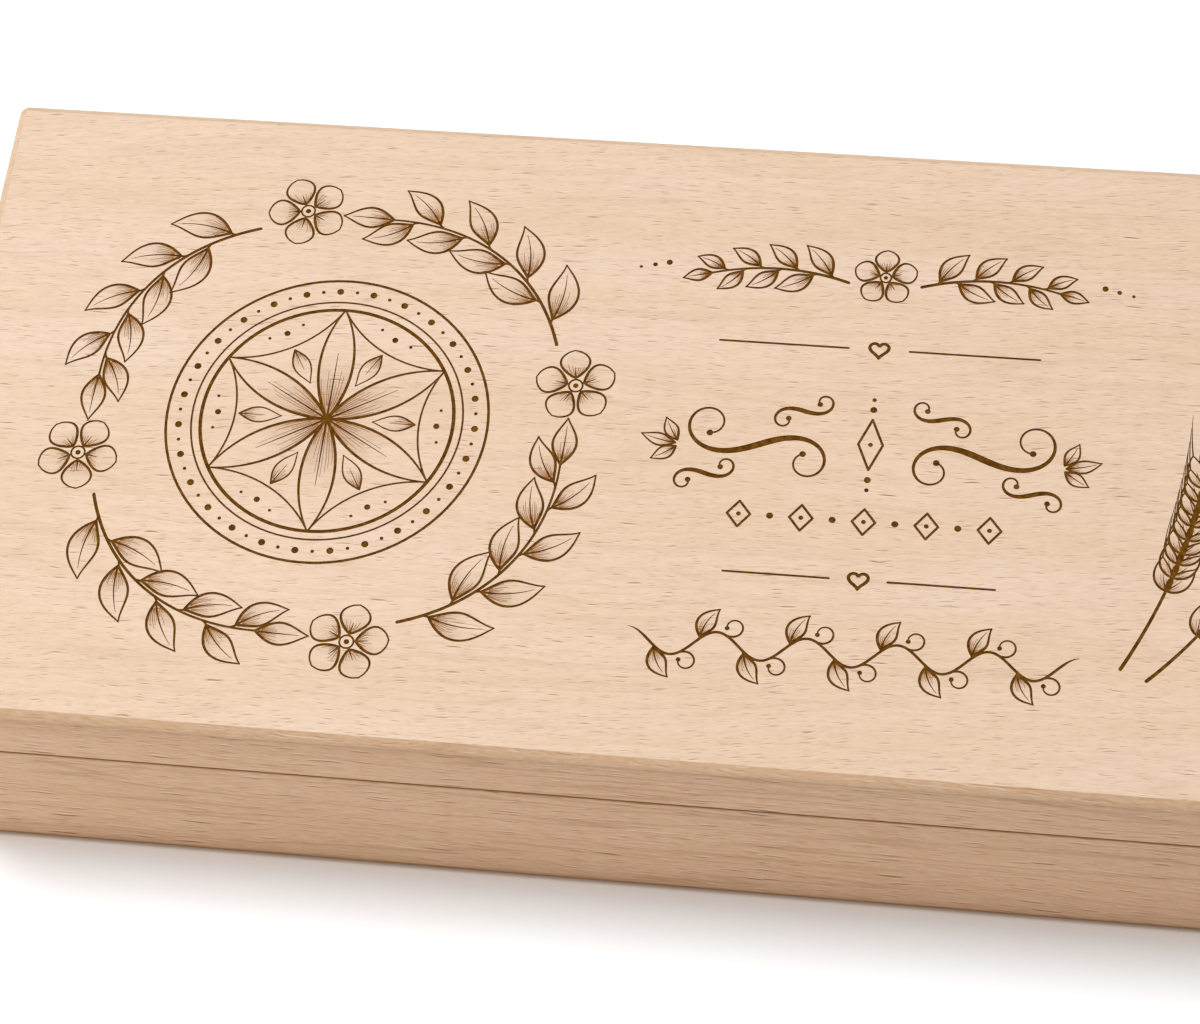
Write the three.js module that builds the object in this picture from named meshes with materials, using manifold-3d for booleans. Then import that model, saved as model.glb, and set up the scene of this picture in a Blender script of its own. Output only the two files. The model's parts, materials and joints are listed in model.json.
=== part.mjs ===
// A money gift box: a shallow hinged box of pale beech that holds banknotes laid flat.
// Lengths are in millimetres. +X runs along the box, +Y towards the hinges, +Z up.
// The origin is the centre of the underside.
import * as THREE from "three";
import { mergeVertices } from "three/addons/utils/BufferGeometryUtils.js";
import Module from "manifold-3d";

// Driving dimensions of the box
const boxLength = 200;
const boxDepth = 100;
const baseHeight = 28.5;
const lidHeight = 11.9;
const seamGap = 0.6;
const wallThickness = 8;
const topThickness = 4;
const bottomThickness = 4;
const rebateWidth = 4;
const glueLine = 0.05;

// Worked edges: a crisp chamfer round the top, upright corners a little rounder than it is wide,
// and the arrises at the seam and at the foot only just broken
const topChamfer = 1.15;
const cornerExtra = 0.35;
const arrisEasing = 0.15;

// Brass butt hinges
const hingeFromEnd = 40;
const leafLength = 24;
const leafThickness = 0.8;
const leafCover = 1.8;
const leafPlay = 0.1;
const seatGap = 0.05;
const barrelRadius = 1.5;
const barrelClearance = 0.12;
const knuckleGap = 0.12;
const pinRadius = 0.7;
const pinPlay = 0.08;
const pinHeadRadius = 1.05;
const pinHeadHeight = 0.4;

// Countersunk brass screws, two in each leaf
const screwHeadRadius = 1.5;
const screwHeadDepth = 0.7;
const screwRimHeight = 0.1;
const screwShankRadius = 0.7;
const screwTipRadius = 0.2;
const screwPointLength = 1.2;
const screwTipCover = 2;
const screwFromLeafEnd = 5;
const screwPlay = 0.05;
const slotWidth = 0.35;
const slotDepth = 0.35;

// Disc magnets in the front rims
const magnetRadius = 2.5;
const magnetThickness = 2;
const magnetFromEnd = 30;
const magnetEasing = 0.15;

// Every cut runs past the face that it opens by this much
const overrun = 1;

// Steps in the round shapes, and how near two vertices are one
const cornerSteps = 6;
const chamferSteps = 1;
const easingSteps = 2;
const barrelFacets = 20;
const screwFacets = 14;
const magnetFacets = 28;
const weldDistance = 1e-4;

// Sizes worked out from those above
const rightAngle = Math.PI / 2;
const cornerRadius = topChamfer + cornerExtra;
const lidBottom = baseHeight + seamGap;
const boxHeight = lidBottom + lidHeight;
const boardBottom = boxHeight - topThickness;
const railTop = boardBottom - glueLine;
const railHeight = railTop - lidBottom;
const wellLength = boxLength - 2 * wallThickness;
const wellDepth = boxDepth - 2 * wallThickness;
const leafReach = wallThickness - leafCover;
const barrelOffset = barrelRadius + barrelClearance;
const hingeX = boxLength / 2 - hingeFromEnd;
const hingeY = boxDepth / 2 + barrelOffset;
const hingeZ = baseHeight + seamGap / 2;
const screwX = leafLength / 2 - screwFromLeafEnd;
const screwY = boxDepth / 2 - leafReach / 2;
const screwLength = railHeight - screwTipCover;
const magnetX = boxLength / 2 - magnetFromEnd;
const magnetY = (wallThickness - boxDepth) / 2;
const knuckleCount = 5;
const knucklePitch = leafLength / knuckleCount;

const wasm = await Module();
wasm.setup();

// A closed geometry as a solid that can be joined and cut
function solidOf(geometry) {
  const bare = geometry.clone();
  bare.deleteAttribute("normal");
  bare.deleteAttribute("uv");
  const merged = mergeVertices(bare, weldDistance);
  return new wasm.Manifold(
    new wasm.Mesh({
      numProp: 3,
      vertProperties: merged.attributes.position.array,
      triVerts: new Uint32Array(merged.index.array),
    }),
  );
}

// A joined or cut solid as a geometry with flat facets
function geometryOf(solid) {
  const mesh = solid.getMesh();
  const indexed = new THREE.BufferGeometry();
  indexed.setAttribute("position", new THREE.BufferAttribute(mesh.vertProperties, mesh.numProp));
  indexed.setIndex(new THREE.BufferAttribute(mesh.triVerts, 1));
  const geometry = indexed.toNonIndexed();
  geometry.computeVertexNormals();
  return geometry;
}

// A block between two corners, each given as x, y and z
function block(low, high) {
  const size = high.map((value, i) => value - low[i]);
  const centre = high.map((value, i) => (value + low[i]) / 2);
  return solidOf(new THREE.BoxGeometry(...size).translate(...centre));
}

// A rod of the given radius along X, from one x to another, on the line y = 0, z = 0
function rodAlongX(radius, from, to) {
  const rod = new THREE.CylinderGeometry(radius, radius, to - from, barrelFacets);
  return solidOf(rod.rotateZ(rightAngle).translate((from + to) / 2, 0, 0));
}

// A turned solid: the profile holds radius and height pairs and goes from the axis to the axis
function turned(profile, facets) {
  const points = profile.map(([radius, height]) => new THREE.Vector2(radius, height));
  return solidOf(new THREE.LatheGeometry(points, facets).rotateX(rightAngle));
}

// The points of an oblong with round corners, centred on the origin
function roundedOblong(length, depth, radius) {
  const points = [];
  for (let corner = 0; corner < 4; corner += 1) {
    const xSign = corner === 0 || corner === 3 ? 1 : -1;
    const ySign = corner < 2 ? 1 : -1;
    for (let step = 0; step <= cornerSteps; step += 1) {
      const angle = (corner + step / cornerSteps) * rightAngle;
      const x = xSign * (length / 2 - radius) + radius * Math.cos(angle);
      const y = ySign * (depth / 2 - radius) + radius * Math.sin(angle);
      points.push(new THREE.Vector2(x, y));
    }
  }
  return points;
}

// An oblong block with round corners, its top and bottom edges rounded by the easing, or cut flat
// at 45 degrees where it has one step
function easedBlock(inset, bottom, top, easing, steps) {
  const length = boxLength - 2 * inset;
  const depth = boxDepth - 2 * inset;
  const outline = new THREE.Shape(roundedOblong(length, depth, cornerRadius - inset));
  const extruded = new THREE.ExtrudeGeometry(outline, {
    depth: top - bottom - 2 * easing,
    bevelEnabled: true,
    bevelThickness: easing,
    bevelSize: easing,
    bevelOffset: -easing,
    bevelSegments: steps,
  });
  return solidOf(extruded.translate(0, 0, bottom + easing));
}

// The part of a frame of wood that is one side of it, cut at 45 degrees at both ends
function mitred(frame, side) {
  const alongX = side === "front" || side === "back";
  const sign = side === "front" || side === "left" ? -1 : 1;
  const halfAlong = (alongX ? boxLength : boxDepth) / 2;
  const halfAcross = (alongX ? boxDepth : boxLength) / 2;
  const mitreGap = glueLine * Math.SQRT1_2;
  const outer = halfAcross + overrun;
  const inner = halfAcross - wallThickness - overrun;
  const outerEnd = halfAlong - mitreGap + overrun;
  const innerEnd = halfAlong - mitreGap - wallThickness - overrun;
  const corners = [
    [-outerEnd, sign * outer],
    [outerEnd, sign * outer],
    [innerEnd, sign * inner],
    [-innerEnd, sign * inner],
  ];
  const outline = corners.map(([along, across]) =>
    alongX ? new THREE.Vector2(along, across) : new THREE.Vector2(across, along),
  );
  const wedge = new THREE.ExtrudeGeometry(new THREE.Shape(outline), {
    depth: boxHeight + 2 * overrun,
    bevelEnabled: false,
  });
  return frame.intersect(solidOf(wedge.translate(0, 0, -overrun)));
}

// The four walls of the base before they are parted: eased at the seam and at the foot,
// hollow, with a rebate round the underside for the bottom panel
function baseFrame() {
  const rebateX = wellLength / 2 + rebateWidth;
  const rebateY = wellDepth / 2 + rebateWidth;
  const rebateTop = bottomThickness + glueLine;
  const well = block(
    [-wellLength / 2, -wellDepth / 2, -overrun],
    [wellLength / 2, wellDepth / 2, baseHeight + overrun],
  );
  const rebate = block([-rebateX, -rebateY, -overrun], [rebateX, rebateY, rebateTop]);
  return easedBlock(0, 0, baseHeight, arrisEasing, easingSteps).subtract(well).subtract(rebate);
}

// The four rails of the lid before they are parted: eased at the seam, square under the board
function lidFrame() {
  const well = block(
    [-wellLength / 2, -wellDepth / 2, lidBottom - overrun],
    [wellLength / 2, wellDepth / 2, boxHeight],
  );
  const above = block(
    [-boxLength, -boxDepth, railTop],
    [boxLength, boxDepth, boxHeight + overrun],
  );
  const whole = easedBlock(0, lidBottom, boxHeight, arrisEasing, easingSteps);
  return whole.subtract(well).subtract(above);
}

// The bottom panel, flush with the walls' lower edges
function bottomPanel() {
  const halfLength = wellLength / 2 + rebateWidth - glueLine;
  const halfDepth = wellDepth / 2 + rebateWidth - glueLine;
  return block([-halfLength, -halfDepth, 0], [halfLength, halfDepth, bottomThickness]);
}

// The lid's board: chamfered round its top and square under it
function topBoard() {
  const blockBottom = boardBottom - 2 * topChamfer;
  const chamfered = easedBlock(0, blockBottom, boxHeight, topChamfer, chamferSteps);
  const below = block([-boxLength, -boxDepth, -overrun], [boxLength, boxDepth, boardBottom]);
  return chamfered.subtract(below);
}

// The shallow mortise that lets a hinge leaf into a rim; side is -1 in the base and 1 in the lid
function leafMortise(hingeCentre, side) {
  const rim = side < 0 ? baseHeight : lidBottom;
  const floor = rim + side * (leafThickness + seatGap);
  const mouth = rim - side * overrun;
  const halfLength = leafLength / 2 + leafPlay;
  const inner = boxDepth / 2 - leafReach - leafPlay;
  return block(
    [hingeCentre - halfLength, inner, Math.min(floor, mouth)],
    [hingeCentre + halfLength, boxDepth / 2 + overrun, Math.max(floor, mouth)],
  );
}

// A round hole down into the base or up into the lid from its rim
function rimHole(radius, depth, x, y, side, facets) {
  const rim = side < 0 ? baseHeight : lidBottom;
  const height = depth + overrun;
  const hole = new THREE.CylinderGeometry(radius, radius, height, facets).rotateX(rightAngle);
  return solidOf(hole.translate(x, y, rim + side * (depth - height / 2)));
}

// A back wall or back rail with the seats of both hinges cut in
function withHingeSeats(wood, side) {
  let cut = wood;
  for (const hingeCentre of [-hingeX, hingeX]) {
    cut = cut.subtract(leafMortise(hingeCentre, side));
    for (const x of [hingeCentre - screwX, hingeCentre + screwX]) {
      const radius = screwShankRadius + screwPlay;
      const depth = screwLength + screwPlay;
      cut = cut.subtract(rimHole(radius, depth, x, screwY, side, screwFacets));
    }
  }
  return cut;
}

// A front wall or front rail with the blind holes of both magnets cut in
function withMagnetHoles(wood, side) {
  const radius = magnetRadius + seatGap;
  const depth = magnetThickness + seatGap;
  const left = rimHole(radius, depth, -magnetX, magnetY, side, magnetFacets);
  const right = rimHole(radius, depth, magnetX, magnetY, side, magnetFacets);
  return wood.subtract(left).subtract(right);
}

// The countersunk hole in a leaf, point down, its mouth at z = 0
function countersink() {
  const wide = screwHeadRadius + screwPlay;
  const narrow = screwShankRadius + screwPlay;
  return turned(
    [
      [0, -leafThickness - overrun],
      [narrow, -leafThickness - overrun],
      [narrow, -screwHeadDepth],
      [wide, -screwRimHeight],
      [wide, overrun],
      [0, overrun],
    ],
    screwFacets,
  );
}

// One hinge leaf about its own pin line: a plate with two countersunk holes, and every other
// knuckle rolled round the pin; side is -1 for the leaf in the base and 1 for the one in the lid
function hingeLeaf(side) {
  const near = (side * seamGap) / 2;
  const far = near + side * leafThickness;
  const low = Math.min(near, far);
  const high = Math.max(near, far);
  const plateEdge = -barrelRadius - knuckleGap;
  let leaf = block(
    [-leafLength / 2, -barrelOffset - leafReach, low],
    [leafLength / 2, plateEdge, high],
  );
  const first = side < 0 ? 0 : 1;
  for (let i = first; i < knuckleCount; i += 2) {
    const isFirst = i === 0;
    const isLast = i === knuckleCount - 1;
    const start = -leafLength / 2 + i * knucklePitch + (isFirst ? 0 : knuckleGap / 2);
    const end = -leafLength / 2 + (i + 1) * knucklePitch - (isLast ? 0 : knuckleGap / 2);
    const neck = block([start, plateEdge - knuckleGap, low], [end, 0, high]);
    leaf = leaf.add(neck).add(rodAlongX(barrelRadius, start, end));
  }
  const bore = rodAlongX(pinRadius + pinPlay, -leafLength, leafLength);
  leaf = leaf.subtract(bore);
  for (const x of [-screwX, screwX]) {
    const turn = side < 0 ? 0 : 180;
    const hole = countersink().rotate([turn, 0, 0]);
    leaf = leaf.subtract(hole.translate([x, screwY - hingeY, near]));
  }
  return leaf;
}

// The hinge pin along X, its two ends peened over into low domes
function hingePin() {
  const half = leafLength / 2 + seatGap;
  const shoulder = half + pinHeadHeight / 2;
  const tip = half + pinHeadHeight;
  const domeShare = 0.6;
  const pin = turned(
    [
      [0, -tip],
      [pinHeadRadius * domeShare, -tip],
      [pinHeadRadius, -shoulder],
      [pinHeadRadius, -half],
      [pinRadius, -half],
      [pinRadius, half],
      [pinHeadRadius, half],
      [pinHeadRadius, shoulder],
      [pinHeadRadius * domeShare, tip],
      [0, tip],
    ],
    barrelFacets,
  );
  return pin.rotate([0, 90, 0]);
}

// A countersunk screw, point down, with its slotted face at z = 0
function screw() {
  const body = turned(
    [
      [0, -screwLength],
      [screwTipRadius, -screwLength],
      [screwShankRadius, screwPointLength - screwLength],
      [screwShankRadius, -screwHeadDepth],
      [screwHeadRadius, -screwRimHeight],
      [screwHeadRadius, 0],
      [0, 0],
    ],
    screwFacets,
  );
  const slot = block(
    [-screwHeadRadius - overrun, -slotWidth / 2, -slotDepth],
    [screwHeadRadius + overrun, slotWidth / 2, overrun],
  );
  return body.subtract(slot);
}

// A disc magnet with eased rims, its outer face at z = 0
function magnet() {
  return turned(
    [
      [0, -magnetThickness],
      [magnetRadius - magnetEasing, -magnetThickness],
      [magnetRadius, magnetEasing - magnetThickness],
      [magnetRadius, -magnetEasing],
      [magnetRadius - magnetEasing, 0],
      [0, 0],
    ],
    magnetFacets,
  );
}

// Finishes: colour, roughness and metalness of each
const finishes = {
  beech: { color: "#e6c9ab", roughness: 0.62, metalness: 0 },
  brass: { color: "#c9a24f", roughness: 0.32, metalness: 1 },
  nickel: { color: "#c9c8c4", roughness: 0.22, metalness: 1 },
};

// A named mesh of one finish, added to a group
function addPiece(group, name, solid, finish) {
  const material = new THREE.MeshStandardMaterial(finishes[finish]);
  const mesh = new THREE.Mesh(geometryOf(solid), material);
  mesh.name = name;
  group.add(mesh);
  return mesh;
}

// The wooden pieces of the base
function addBaseWood(group) {
  const frame = baseFrame();
  const front = withMagnetHoles(mitred(frame, "front"), -1);
  const back = withHingeSeats(mitred(frame, "back"), -1);
  addPiece(group, "base_front_wall", front, "beech");
  addPiece(group, "base_back_wall", back, "beech");
  addPiece(group, "base_left_wall", mitred(frame, "left"), "beech");
  addPiece(group, "base_right_wall", mitred(frame, "right"), "beech");
  addPiece(group, "base_bottom_panel", bottomPanel(), "beech");
}

// The wooden pieces of the lid
function addLidWood(group) {
  const frame = lidFrame();
  const front = withMagnetHoles(mitred(frame, "front"), 1);
  const back = withHingeSeats(mitred(frame, "back"), 1);
  addPiece(group, "lid_front_rail", front, "beech");
  addPiece(group, "lid_back_rail", back, "beech");
  addPiece(group, "lid_left_rail", mitred(frame, "left"), "beech");
  addPiece(group, "lid_right_rail", mitred(frame, "right"), "beech");
  addPiece(group, "lid_top_board", topBoard(), "beech");
}

// One hinge with its pin and four screws; the leaves go to the base and to the lid
function addHinge(base, lid, side, hingeCentre) {
  const parts = [
    [base, "base", -1, 0],
    [lid, "lid", 1, Math.PI],
  ];
  for (const [group, place, direction, turn] of parts) {
    const leaf = addPiece(group, `hinge_${side}_${place}_leaf`, hingeLeaf(direction), "brass");
    leaf.position.set(hingeCentre, hingeY, hingeZ);
    [-screwX, screwX].forEach((x, i) => {
      const name = `hinge_${side}_${place}_screw_${i + 1}`;
      const fastener = addPiece(group, name, screw(), "brass");
      fastener.rotation.x = turn;
      fastener.position.set(hingeCentre + x, screwY, hingeZ + (direction * seamGap) / 2);
    });
  }
  const pin = addPiece(base, `hinge_${side}_pin`, hingePin(), "brass");
  pin.position.set(hingeCentre, hingeY, hingeZ);
}

// One pair of magnets that face each other across the seam
function addMagnets(base, lid, side, x) {
  const lower = addPiece(base, `base_${side}_magnet`, magnet(), "nickel");
  lower.position.set(x, magnetY, baseHeight);
  const upper = addPiece(lid, `lid_${side}_magnet`, magnet(), "nickel");
  upper.rotation.x = Math.PI;
  upper.position.set(x, magnetY, lidBottom);
}

const box = new THREE.Group();
const base = new THREE.Group();
const lid = new THREE.Group();
box.add(base, lid);
addBaseWood(base);
addLidWood(lid);
addHinge(base, lid, "left", -hingeX);
addHinge(base, lid, "right", hingeX);
addMagnets(base, lid, "left", -magnetX);
addMagnets(base, lid, "right", magnetX);

export default box;
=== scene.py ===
import json
import math

import bmesh
import bpy
import numpy as np
from mathutils import Matrix, Vector
from mathutils.geometry import delaunay_2d_cdt


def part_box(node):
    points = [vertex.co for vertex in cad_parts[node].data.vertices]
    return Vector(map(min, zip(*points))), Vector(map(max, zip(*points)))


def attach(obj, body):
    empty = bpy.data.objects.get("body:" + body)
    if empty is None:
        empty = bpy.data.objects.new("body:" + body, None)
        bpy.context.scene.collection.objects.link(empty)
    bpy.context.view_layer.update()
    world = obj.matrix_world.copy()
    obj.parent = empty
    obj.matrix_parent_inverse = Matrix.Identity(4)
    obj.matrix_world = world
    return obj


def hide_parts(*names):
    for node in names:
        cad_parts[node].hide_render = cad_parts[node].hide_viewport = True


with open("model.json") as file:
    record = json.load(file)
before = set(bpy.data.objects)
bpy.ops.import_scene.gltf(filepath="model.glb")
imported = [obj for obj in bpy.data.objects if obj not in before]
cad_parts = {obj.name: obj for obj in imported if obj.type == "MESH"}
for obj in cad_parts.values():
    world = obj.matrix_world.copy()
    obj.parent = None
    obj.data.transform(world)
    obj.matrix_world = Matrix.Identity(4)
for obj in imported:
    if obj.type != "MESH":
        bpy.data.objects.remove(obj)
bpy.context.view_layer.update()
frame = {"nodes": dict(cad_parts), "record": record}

MM = 0.001
TURN = 2 * math.pi

# The lid's board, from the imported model, in millimetres
BOARD_LOW, BOARD_HIGH = (np.array(corner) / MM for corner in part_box("lid_top_board"))
BOARD_LENGTH = BOARD_HIGH[0] - BOARD_LOW[0]
BOARD_DEPTH = BOARD_HIGH[1] - BOARD_LOW[1]
BOARD_TOP = BOARD_HIGH[2]
RAIL_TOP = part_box("lid_front_rail")[1].z / MM

# The board's edge: a crisp top arris, a chamfer sanded very slightly round, and a fine groove whose
# deepest line and foot lie just below the chamfer
CHAMFER_INSET = 1.15
CHAMFER_DROP = 1.15
CHAMFER_BULGE = 0.2
ARRIS_EASING = 0.09
GROOVE_DEPTH = 0.1
GROOVE_LINE = 0.07
GROOVE_FOOT = 0.16
CORNER_RADIUS = 1.5
CHAMFER_STEPS = 8
CORNER_STEPS = 8
SIDE_STEP = 5.0
ENGRAVED_SHARP_ANGLE = math.radians(50)

# The other pieces' edges: how wide they are broken, in wood and in brass, from which angle an edge is
# sharp, up to which one its two faces are one flat, and how near two corners are one
WOOD_EASING = 0.1
BRASS_EASING = 0.07
SHARP_ANGLE = math.radians(35)
FLAT_ANGLE = math.radians(1)
MERGE_DISTANCE = 0.002

# The burnt lines: the half widths of full strokes and faint hatching, and the levels with their depths
LINE_HALF = 0.2
BOLD_HALF = 0.26
RULE_HALF = 0.16
FINE_HALF = 0.14
HATCH_HALF = 0.06
TIP_HALF = 0.03
TOP, HATCH, LINE = range(3)
DEPTH_OF_LEVEL = (0.0, 0.05, 0.13)

# The material slots of the board's edge, which follow those of the three levels. The front chamfer's
# slot holds a darker copy of the chamfer wood as painted shade
SHADED_FRONT_CHAMFER, SQUARE_EDGE, OTHER_CHAMFERS = range(3, 6)

# The mesh of the lid's top: how far apart its inner points are, how near two points are one, and the
# cross product of two edges below which their corner counts as flat
POINT_SPACING = 3.0
WELD = 0.0004
SLIVER = 0.00002

# Where the drawing's parts lie on the lid, measured from the lid's middle
MEDALLION = (-45.5, -0.5)
WREATH_RADIUS = 35.0
ROSETTE_RADIUS = 18.0
PANEL_X = 31.0
GARLAND_Y = 28.6
UPPER_RULE_Y = 16.6
FLOURISH_Y = 0.6
BEADS_Y = -11.0
LOWER_RULE_Y = -20.0
VINE_Y = -31.3
WHEAT_FOOT = (66.8, -30.5)

random = np.random.default_rng(11)


def unit(angle):
    """The unit vector, or vectors, at an angle from +X."""
    return np.stack([np.cos(angle), np.sin(angle)], axis=-1)


def walk(start, headings, length):
    """The path walked from a start at an even pace: each step goes along its own heading."""
    steps = unit((headings[1:] + headings[:-1]) / 2) * length / (len(headings) - 1)
    return np.array(start) + np.vstack([np.zeros(2), np.cumsum(steps, axis=0)])


def normals_of(path):
    """The unit normals to the left of a path: its direction by central differences, a quarter turn on."""
    along = np.gradient(path, axis=0)
    along /= np.maximum(np.linalg.norm(along, axis=1, keepdims=True), 1e-9)
    return np.stack([-along[:, 1], along[:, 0]], axis=1)


def turns_of(polygons):
    """The cross product of the two edges at each corner: above zero where the corner turns left."""
    ahead = np.roll(polygons, -1, axis=1) - polygons
    behind = np.roll(ahead, 1, axis=1)
    return behind[..., 0] * ahead[..., 1] - behind[..., 1] * ahead[..., 0]


class Drawing:
    """The burnt strokes on the lid as small polygons with a level, and the scorched blades."""

    def __init__(self):
        self.faces = []
        self.levels = []
        self.blades = []

    def ribbon(self, path, half, level=LINE, round_ends=True):
        """A stroke: the path widened by its half width to both sides. A round end runs on past the
        path by the half width, narrowing as a half circle does. A step folded over by a tight turn
        becomes two triangles, so that every polygon is convex and runs counter-clockwise."""
        path = np.asarray(path, float)
        half = np.broadcast_to(half, len(path)).astype(float)
        if round_ends:
            reach = np.array([0.5, 0.85, 0.99])
            narrowing = np.sqrt(1 - reach**2)
            first = path[0] - path[1]
            last = path[-1] - path[-2]
            first *= half[0] / np.linalg.norm(first)
            last *= half[-1] / np.linalg.norm(last)
            path = np.vstack([path[0] + first * reach[::-1, None], path, path[-1] + last * reach[:, None]])
            half = np.concatenate([half[0] * narrowing[::-1], half, half[-1] * narrowing])
        side = normals_of(path) * half[:, None]
        left, right = path + side, path - side
        quads = np.stack([right[:-1], right[1:], left[1:], left[:-1]], axis=1)
        convex = turns_of(quads).min(axis=1) > SLIVER
        halves = np.vstack([quads[~convex][:, [0, 1, 2]], quads[~convex][:, [0, 2, 3]]])
        area = turns_of(halves)[:, 0]
        halves[area < 0] = halves[area < 0][:, ::-1]
        pieces = [*quads[convex], *halves[np.abs(area) > SLIVER]]
        self.faces.extend(pieces)
        self.levels.extend([level] * len(pieces))

    def disc(self, centre, radius, steps=12):
        """A burnt dot: points evenly round a circle."""
        self.faces.append(np.array(centre) + radius * unit(np.arange(steps) * TURN / steps))
        self.levels.append(LINE)

    def ring(self, centre, radius, half, start=0.0, sweep=TURN, steps=96):
        """A circle, or an arc of one from a start angle, drawn as a stroke with so many steps a turn."""
        angles = start + np.linspace(0, sweep, max(6, int(steps * sweep / TURN)))
        self.ribbon(np.array(centre) + radius * unit(angles), half, round_ends=sweep < TURN)

    def blade(self, spine, half_width, edge=LINE_HALF, rib_end=0.86, hatching=5, shade=1.0):
        """A leaf, petal or grain round a spine: two edges at the half width to each side, a rib that
        thins towards the tip, and faint hatching that follows the flow from the base."""
        share = np.linspace(0, 1, len(spine))
        side = normals_of(spine) * half_width[:, None]
        edge_half = edge * (1 - 0.45 * share**2)
        for sign in (1, -1):
            self.ribbon(spine + sign * side, edge_half)
        rib = share <= rib_end
        self.ribbon(spine[rib], np.interp(share[rib], [0, rib_end], [edge * 0.8, TIP_HALF]))
        for sign in (1, -1):
            for k in range(hatching):
                across = sign * (k + 1 + random.uniform(-0.2, 0.2)) / (hatching + 1)
                begin = random.uniform(0.04, 0.12)
                end = begin + random.uniform(0.2, 0.5) * (1.1 - 0.5 * abs(across))
                stretch = (share >= begin) & (share <= end)
                if stretch.sum() > 2:
                    fading = np.linspace(HATCH_HALF, TIP_HALF, stretch.sum())
                    line = (spine + across * side)[stretch]
                    self.ribbon(line, fading, HATCH, round_ends=False)
        self.blades.append((spine, half_width, shade))

    def leaf(self, foot, heading, side, length, width, spread=0.75, bend=0.5, petiole=1.6, **kind):
        """A leaf on a stem: a short stalk that leaves along the stem's heading and turns out by the
        spread, then a blade whose heading turns back by the bend."""
        out = heading + side * np.linspace(0.25 * spread, spread, 8)
        stalk = walk(foot, out, petiole)
        self.ribbon(stalk, np.linspace(LINE_HALF * 0.9, LINE_HALF * 0.8, len(stalk)))
        share = np.linspace(0, 1, 18)
        spine = walk(stalk[-1], heading + side * (spread - bend * share), length)
        self.blade(spine, leaf_half_width(share, width), **kind)

    def sprig(self, path, count, length, width, taper=0.4, first=1, leaf_from=0.06, **kind):
        """A stem with leaves to its two sides in turn, each shorter than the last, and one at its end."""
        reach = np.linspace(0, 1, len(path))
        along = np.gradient(path, axis=0)
        heading = np.unwrap(np.arctan2(along[:, 1], along[:, 0]))
        self.ribbon(path, np.interp(reach, [0, 1], [BOLD_HALF * 0.95, LINE_HALF * 0.8]))
        for k in range(count):
            share = leaf_from + (1 - leaf_from) * (k + 0.35) / (count + 0.2)
            at = np.array([np.interp(share, reach, path[:, axis]) for axis in (0, 1)])
            size = 1 - taper * share
            side = first * (1 if k % 2 == 0 else -1)
            self.leaf(at, np.interp(share, reach, heading), side, length * size, width * size, **kind)
        end = 1 - taper
        self.leaf(path[-1], heading[-1], first, length * end, width * end, 0.05, 0.1, 0.4)

    def blossom(self, centre, radius, petals=5, turn=0.0):
        """A flower: broad petals round a ring of seeds."""
        share = np.linspace(0, 1, 17)
        full = 0.36 * radius * np.sin(math.pi * share**1.25) ** 0.62
        for k in range(petals):
            angle = turn + k * TURN / petals
            spine = np.array(centre) + unit(angle) * (0.22 + 0.78 * share[:, None]) * radius
            self.blade(spine, full, rib_end=0.4, hatching=3, shade=0.9)
        self.ring(centre, 0.17 * radius, FINE_HALF, steps=20)
        self.disc(centre, 0.07 * radius, steps=8)


def leaf_half_width(share, width):
    """Half the width of a pointed leaf: a sine arch, fullest a little below the middle, drawn in at
    both ends."""
    return 0.5 * width * np.sin(math.pi * share**0.88) ** 1.18


def draw_rosette(art, centre, radius):
    """A compass rosette: six petals, each the overlap of two circles of the rosette's own radius, the
    arcs that join their points, a bud in each gap, and a beaded border."""
    centre = np.array(centre)
    petal = np.linspace(0, 1, 26)
    overlap = np.sqrt(1 - (petal - 0.5) ** 2) - math.sqrt(0.75)
    bud = np.linspace(0, 1, 16)
    for k in range(6):
        angle = TURN / 12 + k * TURN / 6
        between = angle + TURN / 12
        spine = centre + radius * petal[:, None] * unit(angle)
        art.blade(spine, radius * overlap, edge=0.22, rib_end=0.62, hatching=4, shade=1.1)
        beyond = centre + radius * (unit(angle) + unit(angle + TURN / 6))
        art.ring(beyond, radius, FINE_HALF, angle + TURN / 2, TURN / 6, 150)
        spine = centre + radius * (0.7 - 0.34 * bud[:, None]) * unit(between)
        art.blade(spine, leaf_half_width(bud, 2.4), edge=FINE_HALF, rib_end=0.6, hatching=2, shade=0.9)
        art.disc(centre + 0.87 * radius * unit(between), 0.45)
        for sign in (1, -1):
            art.disc(centre + 0.9 * radius * unit(between + sign * 0.16), 0.24)
    art.ring(centre, radius, BOLD_HALF)
    art.ring(centre, radius + 1.3, FINE_HALF)
    art.ring(centre, radius + 4.9, LINE_HALF)
    beads = 54
    for k in range(beads):
        size = 0.52 if k % 2 == 0 else 0.27
        art.disc(centre + (radius + 3.1) * unit(k * TURN / beads), size, steps=10)


def draw_wreath(art, centre, radius):
    """Four leafy sprigs one after another round a circle, with a flower before each."""
    share = np.linspace(0, 1, 60)
    distance = radius + 1.4 * np.sin(math.pi * share) - 0.8
    for k in range(4):
        start = k * TURN / 4 + 0.44
        path = np.array(centre) + distance[:, None] * unit(start + share * 0.98)
        art.sprig(path, 8, 9.6, 4.3, taper=0.22, first=-1, spread=0.82, bend=0.6, petiole=1.0)
        flower = np.array(centre) + (radius + 0.4) * unit(start - 0.21)
        art.blossom(flower, 5.8, turn=start)


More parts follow.
